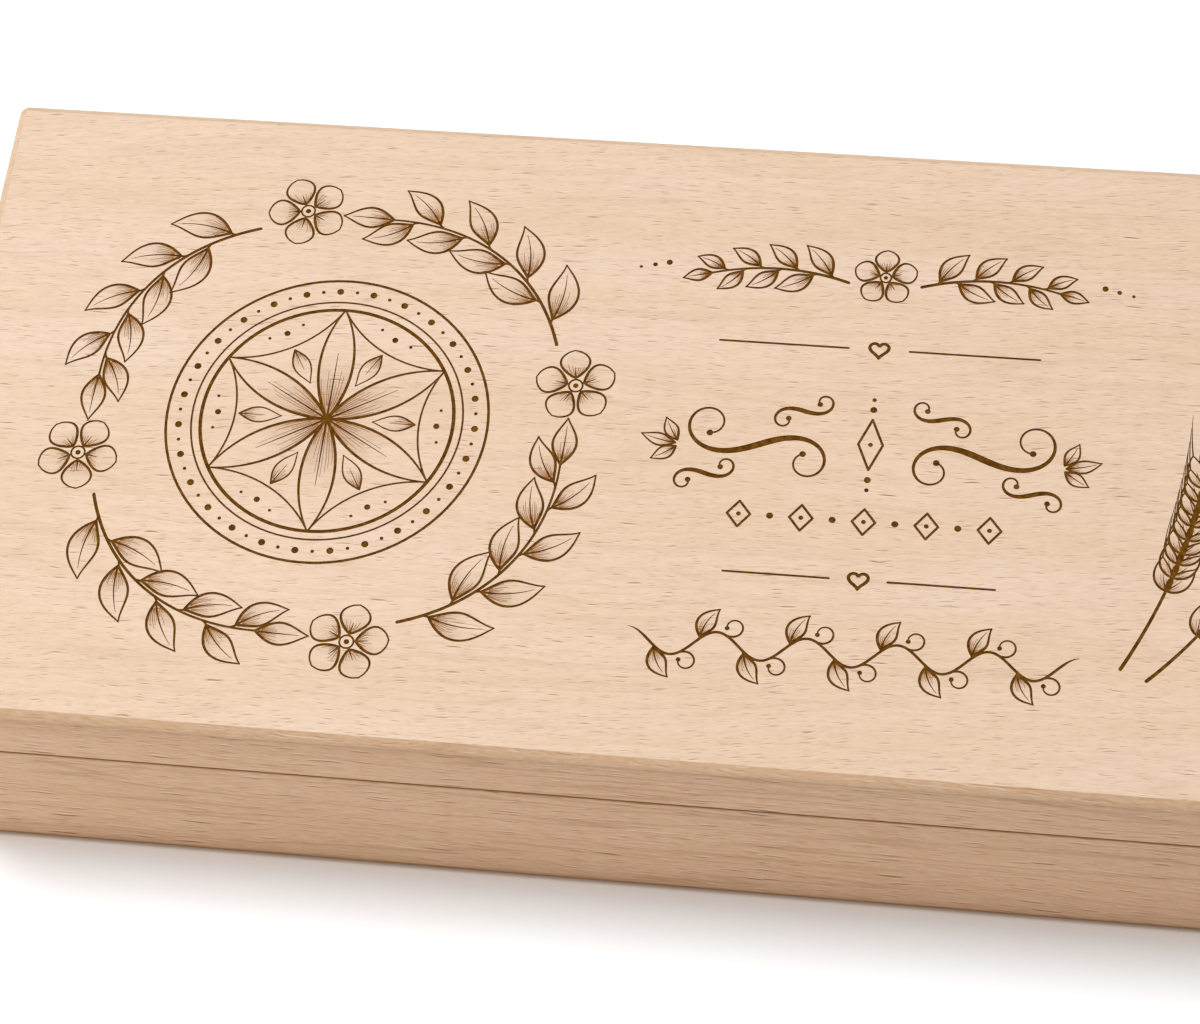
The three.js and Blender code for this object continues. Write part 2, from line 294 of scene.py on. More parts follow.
def draw_garland(art, centre):
    """Two leafy sprigs that part from a flower, mirrored, each with a row of dots beyond its tip."""
    centre = np.array(centre)
    headings = 0.32 - 0.6 * np.linspace(0, 1, 50)
    leaves = {"taper": 0.35, "spread": 0.85, "bend": 0.45, "petiole": 0.8, "hatching": 3}
    for sign in (1, -1):
        path = walk((5.2, -1.2), headings, 19.5) * (sign, 1)
        art.sprig(centre + path, 7, 6.4, 2.9, first=sign, **leaves)
        for k in range(3):
            art.disc(centre + np.array([31.0 + 2.0 * k, 0.4 - 0.5 * k]) * (sign, 1), 0.45 - 0.1 * k)
    art.blossom(centre, 4.6, turn=TURN / 4)


def draw_rule(art, centre, reach, gap):
    """A heart between two thin rules. The heart is the curve x = 16 sin^3 t,
    y = 13 cos t - 5 cos 2t - 2 cos 3t - cos 4t, brought to size."""
    centre = np.array(centre)
    for sign in (1, -1):
        ends = np.linspace(gap, reach, 8)[:, None] * (sign, 0.0)
        art.ribbon(centre + ends, RULE_HALF)
    half_width = 1.35
    t = np.linspace(0, TURN, 49)
    x = 16 * np.sin(t) ** 3
    y = 13 * np.cos(t) - 5 * np.cos(2 * t) - 2 * np.cos(3 * t) - np.cos(4 * t)
    art.ribbon(centre + np.stack([x, y], axis=1) * half_width / 16, 0.24, round_ends=False)


def draw_scroll(art, centre, heading, lengths, curls, mirror, boldness):
    """A scroll: a stroke whose curvature grows evenly from its middle towards both ends, the opposite
    way at each, full in the middle and thin at the ends, which close on a small bead."""
    share = np.linspace(0, 1, 84)
    for direction, length, curl in zip((0.0, math.pi), lengths, curls):
        headings = heading + direction + curl * share**2
        path = np.array(centre) + walk((0.0, 0.0), headings, length) * (mirror, 1)
        art.ribbon(path, FINE_HALF + boldness * np.exp(-((share / 0.45) ** 2)))
        art.disc(path[-1], 0.3 + 0.5 * boldness)


# The flourish's right side, from its middle: each scroll's own middle, its heading there, the lengths
# and curls of its two arms, and how much bolder than a fine line it is, then the foot of the three
# leaves and each one's heading and length
SCROLLS = (
    ((15.2, -0.4), -0.4, (23.0, 20.0), (6.7, 6.4), 0.36),
    ((9.6, 5.3), 0.25, (8.5, 8.5), (-5.5, -5.6), 0.22),
    ((22.6, -5.6), 0.3, (8.5, 8.5), (-5.5, -5.6), 0.22),
)
TUFT_FOOT = (26.4, -1.2)
TUFT = ((0.95, 4.0), (0.12, 5.0), (-0.7, 4.0))


def draw_flourish(art, centre):
    """Two large scrolls mirrored about a lozenge, smaller scrolls in the hollows they leave, a tuft of
    three leaves beyond each, and dots above and below the lozenge."""
    x, y = centre
    share = np.linspace(0, 1, 18)
    for mirror in (1, -1):
        for middle, heading, lengths, curls, boldness in SCROLLS:
            at = np.array(centre) + np.array(middle) * (mirror, 1)
            draw_scroll(art, at, heading, lengths, curls, mirror, boldness)
        foot = np.array(centre) + np.array(TUFT_FOOT) * (mirror, 1)
        for heading, length in TUFT:
            spine = walk((0.0, 0.0), heading + 0.25 * share, length) * (mirror, 1)
            spine += foot + 0.7 * unit(heading) * (mirror, 1)
            art.blade(spine, leaf_half_width(share, 1.9), edge=FINE_HALF * 1.2, hatching=2)
    draw_lozenge(art, (x, y + 0.6), 1.7, 4.0)
    for sign in (1, -1):
        art.disc((x, y + 0.6 + sign * 5.6), 0.5)
        art.disc((x, y + 0.6 + sign * 7.2), 0.32)


def draw_lozenge(art, centre, half_width, half_height):
    """An upright lozenge in outline with a dot in it."""
    corners = np.array([[half_width, 0], [0, half_height], [-half_width, 0], [0, -half_height]])
    closed = np.vstack([corners, corners[:1]])
    at = np.array(centre)
    for begin, end in zip(closed[:-1], closed[1:]):
        art.ribbon(at + np.linspace(begin, end, 5), FINE_HALF * 1.3)
    art.disc(centre, 0.34)


def draw_beads(art, centre):
    """A row of lozenges with dots between."""
    for k in range(-4, 5):
        at = (centre[0] + k * 4.3, centre[1])
        if k % 2 == 0:
            draw_lozenge(art, at, 1.6, 2.0)
        else:
            art.disc(at, 0.5)


def draw_vine(art, centre, length=61.0, waves=5.0, height=1.9):
    """A running vine: a stem in even waves, with a leaf before each crest and trough but those at its
    ends, and a curl after it."""
    count = 600
    share = np.linspace(0, 1, count)
    y = height * np.cos(TURN * waves * share)
    path = np.array(centre) + np.stack([(share - 0.5) * length, y], axis=1)
    half = np.interp(share, [0, 0.04, 0.96, 1], [TIP_HALF, LINE_HALF, LINE_HALF, TIP_HALF])
    art.ribbon(path[::3], half[::3])
    along = np.gradient(path, axis=0)
    slope = np.arctan2(along[:, 1], along[:, 0])
    leaf = {"spread": 0.7, "bend": 0.75, "petiole": 0.5, "hatching": 3}
    bend = np.linspace(0, 1, 40)
    for k in range(1, 2 * int(waves)):
        i = int(k * count / (2 * waves))
        side = 1 if y[i] > 0 else -1
        before, after = i - 24, i + 12
        art.leaf(path[before], slope[before], side, 5.0, 2.5, **leaf)
        curl = walk(path[after], slope[after] + side * (0.15 + 5.3 * bend**1.25), 6.6)
        art.ribbon(curl, np.linspace(LINE_HALF * 0.85, FINE_HALF * 0.8, 40))
        art.disc(curl[-1], 0.34)


def draw_wheat(art, foot, lean, length, grains=9):
    """An ear of wheat: a bent straw, paired grains that overlap up it, each with a fine beard, and one
    grain at the tip."""
    grain_length, tip_length, grain_width, beard_length = 5.2, 5.0, 2.5, 6.5
    grain = {"edge": 0.18, "rib_end": 0.5, "hatching": 2}
    share = np.linspace(0, 1, 60)
    path = walk(foot, lean + 0.35 * (share - 0.5), length)
    art.ribbon(path, np.linspace(BOLD_HALF, LINE_HALF * 0.7, len(path)))
    spine_share = np.linspace(0, 1, 15)
    half = 0.5 * grain_width * np.sin(math.pi * spine_share**0.8) ** 0.9
    for k in range(grains):
        i = int((0.42 + 0.56 * k / grains) * (len(path) - 1))
        step = path[i + 1] - path[i - 1]
        heading = math.atan2(step[1], step[0])
        for side in (1, -1):
            spine = walk(path[i], heading + side * (0.62 - 0.3 * spine_share), grain_length)
            art.blade(spine, half, **grain)
            beard = walk(spine[-1], heading + side * np.linspace(0.3, 0.12, 10), beard_length)
            art.ribbon(beard, np.linspace(FINE_HALF * 0.8, TIP_HALF, 10))
    tip_heading = math.atan2(*(path[-1] - path[-2])[::-1])
    spine = walk(path[-1], np.full(len(spine_share), tip_heading), tip_length)
    art.blade(spine, half, **grain)


def drawing_on_lid():
    """All the burnt work on the lid."""
    art = Drawing()
    draw_wreath(art, MEDALLION, WREATH_RADIUS)
    draw_rosette(art, MEDALLION, ROSETTE_RADIUS)
    draw_garland(art, (PANEL_X, GARLAND_Y))
    draw_rule(art, (PANEL_X, UPPER_RULE_Y), 22.5, 4.3)
    draw_flourish(art, (PANEL_X, FLOURISH_Y))
    draw_beads(art, (PANEL_X, BEADS_Y))
    draw_rule(art, (PANEL_X, LOWER_RULE_Y), 18.5, 4.0)
    draw_vine(art, (PANEL_X, VINE_Y))
    draw_wheat(art, WHEAT_FOOT, 1.25, 33.0)
    draw_wheat(art, (WHEAT_FOOT[0] + 3.5, WHEAT_FOOT[1] - 1.5), 0.95, 24.0, grains=6)
    return art


def board_outline(inset):
    """The board's outline drawn in by the inset: an oblong with round corners, the same number of
    points on it at any inset, those on the sides at even shares."""
    radius = CORNER_RADIUS - inset
    half_x = BOARD_LENGTH / 2 - CORNER_RADIUS
    half_y = BOARD_DEPTH / 2 - CORNER_RADIUS
    centres = np.array([[half_x, half_y], [-half_x, half_y], [-half_x, -half_y], [half_x, -half_y]])
    points = []
    for k, centre in enumerate(centres):
        angles = (k + np.linspace(0, 1, CORNER_STEPS + 1)) * TURN / 4
        arc = centre + radius * unit(angles)
        points.append(arc)
        next_centre = centres[(k + 1) % 4]
        following = next_centre + radius * unit(angles[-1])
        count = int(np.linalg.norm(next_centre - centre) / SIDE_STEP)
        shares = np.linspace(0, 1, count + 1)[1:-1, None]
        points.append(arc[-1] + (following - arc[-1]) * shares)
    return np.vstack(points)


def scorch_at(points, blades):
    """How far each point is browned: inside a blade, strongest at its base and along its edges, and
    gone by a little past the middle. Elsewhere none."""
    gone_by = 0.62
    scorch = np.zeros(len(points))
    for spine, half_width, shade in blades:
        low = spine.min(axis=0) - half_width.max()
        high = spine.max(axis=0) + half_width.max()
        near = np.flatnonzero(((points > low) & (points < high)).all(axis=1))
        if not len(near):
            continue
        distance = np.linalg.norm(points[near, None] - spine[None], axis=2)
        closest = distance.argmin(axis=1)
        share = closest / (len(spine) - 1)
        across = distance[np.arange(len(near)), closest] / np.maximum(half_width[closest], 0.05)
        brown = np.clip(1 - share / gone_by, 0, 1) ** 1.4 * (0.55 + 0.45 * np.minimum(across, 1))
        scorch[near] = np.maximum(scorch[near], shade * brown * (across < 1.05))
    return np.clip(scorch, 0, 1)


def levels_of_triangles(centres, marks, art):
    """The deepest level among the strokes that a triangle is marked as part of. The mesher marks the
    odd triangle for a stroke that is elsewhere, so a mark counts only inside that stroke's own box."""
    low = np.array([face.min(axis=0) for face in art.faces])
    high = np.array([face.max(axis=0) for face in art.faces])
    triangle = np.repeat(np.arange(len(centres)), [len(ids) for ids in marks])
    stroke = np.array([k for ids in marks for k in ids])
    inside = ((centres[triangle] > low[stroke]) & (centres[triangle] < high[stroke])).all(axis=1)
    levels = np.zeros(len(centres), int)
    np.maximum.at(levels, triangle[inside], np.array(art.levels)[stroke[inside]])
    return levels


def flat_top(art, outline):
    """The board's flat top cut up along every stroke: a Delaunay mesh whose edges follow the strokes.
    Returns its points, its triangles, their levels, and the numbers of the outline's points."""
    columns, rows = [
        np.arange(-size / 2 + POINT_SPACING, size / 2 - POINT_SPACING / 2, POINT_SPACING)
        for size in (BOARD_LENGTH, BOARD_DEPTH)
    ]
    grid = np.stack(np.meshgrid(columns, rows), axis=-1).reshape(-1, 2)
    corners = np.vstack([outline, grid, *art.faces])
    starts = len(outline) + len(grid) + np.cumsum([0] + [len(face) for face in art.faces])
    faces = [list(range(a, b)) for a, b in zip(starts[:-1], starts[1:])]
    found = delaunay_2d_cdt([Vector(point) for point in corners], [], faces, 0, WELD)
    flat = np.array([(point.x, point.y) for point in found[0]])
    triangles = np.array(found[2])
    levels = levels_of_triangles(flat[triangles].mean(axis=1), found[5], art)
    made_from = np.full(len(corners), -1)
    for made, originals in enumerate(found[3]):
        made_from[originals] = made
    return flat, triangles, levels, made_from[: len(outline)]


def engraved_top(art, outline):
    """The board's top with its strokes cut in: the triangles in a stroke sink to their level's depth,
    and upright walls join triangles of unlike depth. A flat point becomes one point for each level
    round it. Returns the points, the triangles, the walls, the levels of both, and the numbers of the
    outline's points."""
    flat, triangles, levels, rim = flat_top(art, outline)
    key = triangles + levels[:, None] * len(flat)
    used, renumbered = np.unique(key, return_inverse=True)
    renumbered = renumbered.reshape(key.shape)
    depth = np.array(DEPTH_OF_LEVEL)[used // len(flat)]
    points = np.column_stack([flat[used % len(flat)], -depth])

    begin = triangles.reshape(-1)
    end = triangles[:, [1, 2, 0]].reshape(-1)
    face_level = np.repeat(levels, 3)
    pair = np.minimum(begin, end) * len(flat) + np.maximum(begin, end)
    order = np.argsort(pair, kind="stable")
    same = pair[order][1:] == pair[order][:-1]
    first, second = order[:-1][same], order[1:][same]
    swap = face_level[first] > face_level[second]
    high = np.where(swap, second, first)
    low = np.where(swap, first, second)
    steps = face_level[high] < face_level[low]
    high, low = high[steps], low[steps]

    def renamed(vertex, level):
        """The number of a flat point's copy at a level."""
        return np.searchsorted(used, vertex + level * len(flat))

    walls = np.stack(
        [
            renamed(begin[low], face_level[high]),
            renamed(end[low], face_level[high]),
            renamed(end[low], face_level[low]),
            renamed(begin[low], face_level[low]),
        ],
        axis=1,
    )
    return points, renumbered, walls, levels, face_level[low], renamed(rim, TOP)


def placed(name, data):
    """A new object of the given data, put in the scene."""
    thing = bpy.data.objects.new(name, data)
    bpy.context.scene.collection.objects.link(thing)
    return thing


def new_object(name, points, faces, materials, material_of_face, smooth=None):
    """A mesh object at the origin from points in millimetres, with a material for each face."""
    mesh = bpy.data.meshes.new(name)
    mesh.from_pydata((np.asarray(points) * MM).tolist(), [], faces)
    for material in materials:
        mesh.materials.append(material)
    mesh.polygons.foreach_set("material_index", np.asarray(material_of_face, np.int32))
    if smooth is not None:
        mesh.polygons.foreach_set("use_smooth", np.asarray(smooth, bool))
    mesh.update()
    return placed(name, mesh)


def edge_profile():
    """The board's edge from its top arris down, as insets from the outline and drops from the top:
    a small easing, a chamfer that begins straight and bends down towards its foot, a fine groove, and
    the square edge. The bend is s^1.5 (1 - s), with its peak brought to the given bulge."""
    share = np.linspace(0, 1, CHAMFER_STEPS + 1)
    peak_to_one = 5.38
    bulge = peak_to_one * CHAMFER_BULGE * share**1.5 * (1 - share) * math.sqrt(0.5)
    insets = np.maximum(CHAMFER_INSET * (1 - share) - bulge, 0.0)
    drops = CHAMFER_DROP * share - bulge
    profile = [(insets[0] + 0.1 * ARRIS_EASING, 0.05 * ARRIS_EASING)]
    profile.append((insets[0] - 0.25 * ARRIS_EASING, 0.35 * ARRIS_EASING))
    profile.extend(zip(insets[1:], drops[1:]))
    profile.append((GROOVE_DEPTH, CHAMFER_DROP + GROOVE_LINE))
    profile.append((0.0, CHAMFER_DROP + GROOVE_FOOT))
    profile.append((0.0, BOARD_TOP - RAIL_TOP))
    return profile


def make_top_board(materials):
    """The lid's board: the engraved top, and round it the edge's profile carried along the outline,
    closed underneath. The materials are those of the top, the faint strokes, the deep strokes, the
    front chamfer, a darker copy of the chamfer wood as painted shade, the square edge below its
    groove, which goes on into the rail, and the other three chamfers."""
    art = drawing_on_lid()
    outline = board_outline(CHAMFER_INSET + ARRIS_EASING)
    count = len(outline)
    top, triangles, walls, levels, wall_levels, rim = engraved_top(art, outline)
    rings = [
        np.column_stack([board_outline(inset), np.full(count, -drop)]) for inset, drop in edge_profile()
    ]
    points = np.vstack([top, *rings])
    ring_ids = [rim] + [len(top) + k * count + np.arange(count) for k in range(len(rings))]
    quads = [
        np.stack([upper, lower, np.roll(lower, -1), np.roll(upper, -1)], axis=1)
        for upper, lower in zip(ring_ids[:-1], ring_ids[1:])
    ]
    edge = np.vstack(quads)
    faces = triangles.tolist() + walls.tolist() + edge.tolist() + [ring_ids[-1][::-1].tolist()]
    # Painted shade: the chamfer facing the front takes the darker copy of the chamfer wood
    outward = board_outline(0.0) - board_outline(1.0)
    facing_front = outward[:, 1] < -np.abs(outward[:, 0])
    chamfer_slots = np.where(facing_front, SHADED_FRONT_CHAMFER, OTHER_CHAMFERS)
    below_chamfer = 3
    edge_slots = np.tile(chamfer_slots, len(rings) - below_chamfer)
    slots = [*levels, *wall_levels, *edge_slots, *[SQUARE_EDGE] * (below_chamfer * count), TOP]
    smooth = [*np.zeros(len(triangles) + len(walls), bool), *np.ones(len(edge), bool), False]
    points = points + (0, 0, BOARD_TOP)
    board = new_object("lid_top_board_engraved", points, faces, materials, slots, smooth)
    scorch = board.data.attributes.new("scorch", "FLOAT", "POINT")
    scorch.data.foreach_set("value", scorch_at(points[:, :2], art.blades).astype(np.float32))
    board.data.set_sharp_from_angle(angle=ENGRAVED_SHARP_ANGLE)
    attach(board, "lid")
    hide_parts("lid_top_board")


def linear(hex_colour):
    """An sRGB hex colour as the linear RGBA that sockets hold."""
    values = [int(hex_colour[i : i + 2], 16) / 255 for i in (1, 3, 5)]
    return (*[v / 12.92 if v <= 0.04045 else ((v + 0.055) / 1.055) ** 2.4 for v in values], 1.0)


def add(tree, kind, inputs=None, **settings):
    """Adds a node: settings are its properties, inputs are values or the sockets that feed it."""
    node = tree.nodes.new(kind)
    for name, value in settings.items():
        setattr(node, name, value)
    for key, value in (inputs or {}).items():
        if isinstance(value, bpy.types.NodeSocket):
            tree.links.new(value, node.inputs[key])
        else:
            node.inputs[key].default_value = value
    return node


def new_material(name):
    """A material and its empty node tree."""
    material = bpy.data.materials.new(name)
    material.use_nodes = True
    material.node_tree.nodes.clear()
    return material, material.node_tree


def show(tree, node, kind="ShaderNodeOutputMaterial"):
    """Ends a tree in its output node, which shows what the given node makes."""
    add(tree, kind, {"Surface": node.outputs[0]})


def own_place(tree):
    """Where a point lies in its piece's own axes, in metres."""
    return add(tree, "ShaderNodeTexCoord").outputs["Object"]


def vector(tree, operation, *inputs):
    """A vector calculation's first output."""
    return add(tree, "ShaderNodeVectorMath", dict(enumerate(inputs)), operation=operation).outputs[0]


def number(tree, operation, *inputs):
    """A calculation's output."""
    return add(tree, "ShaderNodeMath", dict(enumerate(inputs)), operation=operation).outputs[0]


def ramp(tree, value, low, high, to_low=0.0, to_high=1.0, kind="LINEAR"):
    """A value brought from one range to another, held at the ends."""
    inputs = {"Value": value, 1: low, 2: high, 3: to_low, 4: to_high}
    return add(tree, "ShaderNodeMapRange", inputs, interpolation_type=kind).outputs[0]


def noise(tree, place, scale, detail=2.0, roughness=0.5, output="Fac"):
    """Soft noise from 0 to 1, with the given number of features to a unit of place along each axis."""
    inputs = {"Vector": vector(tree, "MULTIPLY", place, scale), "Scale": 1.0}
    inputs.update({"Detail": detail, "Roughness": roughness})
    return add(tree, "ShaderNodeTexNoise", inputs).outputs[output]


def swayed(tree, place, scale, reach):
    """A place moved by soft noise, by up to the given reach along each axis."""
    return vector(tree, "MULTIPLY_ADD", noise(tree, place, scale, output="Color"), reach, place)


def tint(tree, factor, amount, first, second):
    """The first colour turned towards the second by a factor of at most the amount."""
    share = number(tree, "MULTIPLY", factor, amount)
    return add(tree, "ShaderNodeMix", {0: share, 6: first, 7: second}, data_type="RGBA").outputs[2]


def openness(tree, distance, closed):
    """How open the space round a point is, 0 where walls within the distance in millimetres shut off
    the given share of it, and 1 where nothing is near."""
    nearness = add(tree, "ShaderNodeAmbientOcclusion", {"Distance": distance * MM}, samples=4)
    return ramp(tree, nearness.outputs["AO"], 1 - closed, 1.0)


# The golden brown of the painted shade in narrow gaps in the wood
PAINTED_GAP_SHADE = "#96600f"

# The dashes in beech, by kind: the cell that holds one along the grain, across it and inwards, the
# half sizes of a dash, the share of cells that have one, how strongly it shows, and its colour
BEECH_DASHES = (
    ((15.0, 1.1, 0.25), (5.5, 0.06, 0.11), 0.8, 0.25, "#b88256"),
    ((2.2, 0.36, 0.12), (0.7, 0.06, 0.06), 0.75, 0.6, "#bb8154"),
    ((4.0, 0.7, 0.15), (1.0, 0.075, 0.075), 0.65, 0.8, "#b47644"),
    ((9.0, 1.9, 0.22), (1.4, 0.1, 0.1), 0.5, 0.9, "#955f30"),
)


def beech_dashes(tree, flow, cell, half, present):
    """Short dashes along the grain, the ends of beech's rays, each with a painted highlight beside it, a
    pale line as if its relief caught light. Of the cells of the given size in millimetres, the given
    share have one dash each, of the given half sizes. Both results are at most 1, in the middle of a
    dash or of a highlight, and fade to 0 at its rim."""
    cells = vector(tree, "MULTIPLY", flow, [1 / size for size in cell])
    voronoi = add(tree, "ShaderNodeTexVoronoi", {"Vector": cells, "Scale": 1.0, "Randomness": 1.0})
    offset = vector(tree, "SUBTRACT", cells, voronoi.outputs["Position"])
    scaled = vector(tree, "MULTIPLY", offset, [whole / part for whole, part in zip(cell, half)])
    chance = add(tree, "ShaderNodeSeparateColor", {"Color": voronoi.outputs["Color"]}).outputs[0]
    strength = ramp(tree, chance, 1 - present, 1.0, 0.25, 1.0)
    chosen = number(tree, "MULTIPLY", strength, number(tree, "GREATER_THAN", chance, 1 - present))
    both = []
    for beside in (0.0, 2.0):
        moved = vector(tree, "ADD", scaled, (0.0, beside, 0.0))
        length = add(tree, "ShaderNodeVectorMath", {0: moved}, operation="LENGTH").outputs["Value"]
        both.append(number(tree, "MULTIPLY", ramp(tree, length, 1.0, 0.35, kind="SMOOTHSTEP"), chosen))
    return both


def beech_material(
    name, turn, shift, pale, warm, stretch=1.0, thick=1.0, long=1.0, dashes=1.0, fibres=0.3,
    rim=PAINTED_GAP_SHADE, scorched=False
):
    """Beech, planed and sanded, with a thin coat of oil: a pale pinkish tan with softer yellow bands,
    long wavy threads, a few growth lines and short dark dashes, each with a painted highlight beside
    it, all along the grain, with a low even sheen, and painted golden brown shade with the sheen gone
    in narrow gaps. In the pattern's own axes the grain runs along x and the rays go in along z.
    Stretch makes the whole pattern larger, thick and long make the dashes wider and longer, and dashes
    and fibres are how strongly those show. Rim is the colour of the painted gap shade on faces that
    lie level."""
    material, tree = new_material(name)
    coordinates = add(tree, "ShaderNodeTexCoord")
    inputs = {"Vector": coordinates.outputs["Object"], "Rotation": turn, "Scale": (1 / MM / stretch,) * 3}
    place = vector(tree, "ADD", add(tree, "ShaderNodeMapping", inputs).outputs[0], shift)
    place = swayed(tree, place, (0.011, 0.03, 0.03), (0.0, 7.0, 3.5))
    place = swayed(tree, place, (0.06, 0.12, 0.05), (0.0, 1.8, 0.25))
    flow = swayed(tree, place, (0.35, 0.8, 0.2), (0.0, 0.4, 0.05))

    bands = ramp(tree, noise(tree, place, (0.016, 0.12, 0.08), 3.0), 0.3, 0.72)
    patches = ramp(tree, noise(tree, place, (0.05, 0.4, 0.3)), 0.42, 0.72)
    streaks = ramp(tree, noise(tree, flow, (0.3, 2.0, 1.6), 3.0, 0.6), 0.42, 0.7)
    silk = ramp(tree, noise(tree, flow, (0.9, 5.5, 4.5), 2.0, 0.6), 0.3, 0.7)
    growth = number(tree, "MULTIPLY", noise(tree, place, (0.005, 0.13, 0.08)), 9.0)
    ring = ramp(tree, number(tree, "PINGPONG", growth, 0.5), 0.0, 0.1, 1.0, 0.0)

    colour = tint(tree, bands, 1.0, linear(pale), linear(warm))
    colour = tint(tree, patches, 0.18, colour, linear("#dcb58c"))
    colour = tint(tree, streaks, fibres, colour, linear("#cf9f76"))
    colour = tint(tree, silk, 0.25, colour, linear("#fdeedd"))
    colour = tint(tree, ring, 0.4 * fibres, colour, linear("#b4835a"))
    height = number(tree, "MULTIPLY_ADD", silk, 0.25, number(tree, "MULTIPLY", streaks, -0.2))
    for cell, half, present, strength, shade in BEECH_DASHES:
        cell = (cell[0] * long, cell[1], cell[2])
        half = (half[0] * long, half[1] * thick, half[2])
        dash, painted_highlight = beech_dashes(tree, flow, cell, half, present)
        # Painted highlight: a pale line beside each dash, as if its relief caught light
        colour = tint(tree, painted_highlight, 0.4 * dashes / thick, colour, linear("#fff1df"))
        colour = tint(tree, dash, strength * dashes, colour, linear(shade))
        height = number(tree, "MULTIPLY_ADD", dash, -strength, height)
    if scorched:
        scorch = add(tree, "ShaderNodeAttribute", attribute_name="scorch", attribute_type="GEOMETRY")
        colour = tint(tree, scorch.outputs["Fac"], 0.85, colour, linear("#9a6128"))
    # Painted shade: where walls within a millimetre close in the wood, as in the seam, the inner corners
    # and the foot on the floor, it turns golden brown, a lighter golden on level faces
    space = ramp(tree, openness(tree, distance=1.0, closed=1.0), 0.45, 0.85)
    shut = number(tree, "SUBTRACT", 1.0, space)
    facing = add(tree, "ShaderNodeSeparateXYZ", {"Vector": coordinates.outputs["Normal"]}).outputs[2]
    gap = tint(tree, number(tree, "ABSOLUTE", facing), 1.0, linear(PAINTED_GAP_SHADE), linear(rim))
    colour = tint(tree, shut, 1.0, colour, gap)

    bump = add(tree, "ShaderNodeBump", {"Height": height, "Strength": 0.8, "Distance": 0.05 * MM})
    inputs = {"Base Color": colour, "Roughness": ramp(tree, bands, 0.0, 1.0, 0.5, 0.6)}
    # Painted shade: the sheen fades out in narrow gaps
    inputs["Specular IOR Level"] = number(tree, "MULTIPLY", space, 0.5)
    inputs["Normal"] = bump.outputs[0]
    show(tree, add(tree, "ShaderNodeBsdfPrincipled", inputs))
    return material


def burnt_material(name, dark, light):
    """Beech browned by a fine hot beam: matt char, darker and lighter by turns along a stroke."""
    material, tree = new_material(name)
    char = ramp(tree, noise(tree, own_place(tree), (1.1 / MM,) * 3, 3.0, 0.6), 0.35, 0.68)
    colour = tint(tree, char, 1.0, linear(dark), linear(light))
    inputs = {"Base Color": colour, "Roughness": 0.95, "Specular IOR Level": 0.0}
    show(tree, add(tree, "ShaderNodeBsdfPrincipled", inputs))
    return material


def brass_material():
    """Brass, stamped and tumbled, then lacquered: a satin yellow metal with faint brushed streaks."""
    material, tree = new_material("tumbled_brass")
    streaks = noise(tree, own_place(tree), (0.3 / MM, 4 / MM, 4 / MM), 3.0)
    colour = tint(tree, streaks, 1.0, linear("#bf9657"), linear("#d8b67c"))
    inputs = {"Base Color": colour, "Metallic": 1.0, "Roughness": ramp(tree, streaks, 0.0, 1.0, 0.22, 0.42)}
    show(tree, add(tree, "ShaderNodeBsdfPrincipled", inputs))
    return material


def nickel_material():
    """Nickel plate on a magnet: a bright, faintly warm metal with a fine grey cloudiness."""
    material, tree = new_material("nickel_plate")
    clouds = noise(tree, own_place(tree), (1.2 / MM,) * 3, 3.0)
    inputs = {"Base Color": linear("#cfccc6"), "Metallic": 1.0}
    inputs["Roughness"] = ramp(tree, clouds, 0.0, 1.0, 0.14, 0.3)
    show(tree, add(tree, "ShaderNodeBsdfPrincipled", inputs))
    return material


def coat(mesh, material):
    """Gives a mesh its one finish."""
    mesh.materials.clear()
    mesh.materials.append(material)


def eased(node, material, width):
    """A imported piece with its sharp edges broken: a merged copy of its mesh with a narrow bevel of the
    given width in millimetres, which stands for it."""
    body = next(name for name, members in frame["record"]["behaviour"]["bodies"].items() if node in members)
    mesh = frame["nodes"][node].data.copy()
    merged = bmesh.new()
    merged.from_mesh(mesh)
    bmesh.ops.remove_doubles(merged, verts=merged.verts, dist=MERGE_DISTANCE * MM)
    bmesh.ops.dissolve_limit(merged, angle_limit=FLAT_ANGLE, verts=merged.verts, edges=merged.edges)
    merged.to_mesh(mesh)
    merged.free()
    coat(mesh, material)
    mesh.polygons.foreach_set("use_smooth", np.ones(len(mesh.polygons), bool))
    mesh.set_sharp_from_angle(angle=SHARP_ANGLE)
    piece = placed(node + "_eased", mesh)
    bevel = piece.modifiers.new("broken_edges", "BEVEL")
    bevel.width = width * MM
    bevel.segments = 2
    bevel.limit_method = "ANGLE"
    bevel.angle_limit = SHARP_ANGLE
    bevel.harden_normals = True
    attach(piece, body)
    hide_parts(node)


# The camera of the photograph: its lens and film, where it looks, and from where
LENS_MM, FILM_MM = 105.0, 36.0
LOOK_AT = (-10.7, 9.63, 0.0)
AZIMUTH, ELEVATION, ROLL = math.radians(13.93), math.radians(61.16), math.radians(-8.26)
DISTANCE = 529.8


def make_camera():
    """The camera turned so that it looks back along the given azimuth and elevation, then rolled."""
    back = Vector((
        math.sin(AZIMUTH) * math.cos(ELEVATION),
        -math.cos(AZIMUTH) * math.cos(ELEVATION),
        math.sin(ELEVATION),
    ))
    level = Vector((math.cos(AZIMUTH), math.sin(AZIMUTH), 0))
    upright = back.cross(level)
    right = math.cos(ROLL) * level + math.sin(ROLL) * upright
    up = back.cross(right)
    camera = placed("camera", bpy.data.cameras.new("camera"))
    camera.data.lens = LENS_MM
    camera.data.sensor_width = FILM_MM
    camera.data.clip_start = 0.01
    place = (Vector(LOOK_AT) + DISTANCE * back) * MM
    camera.matrix_world = Matrix.Translation(place) @ Matrix((right, up, back)).transposed().to_4x4()
    bpy.context.scene.camera = camera


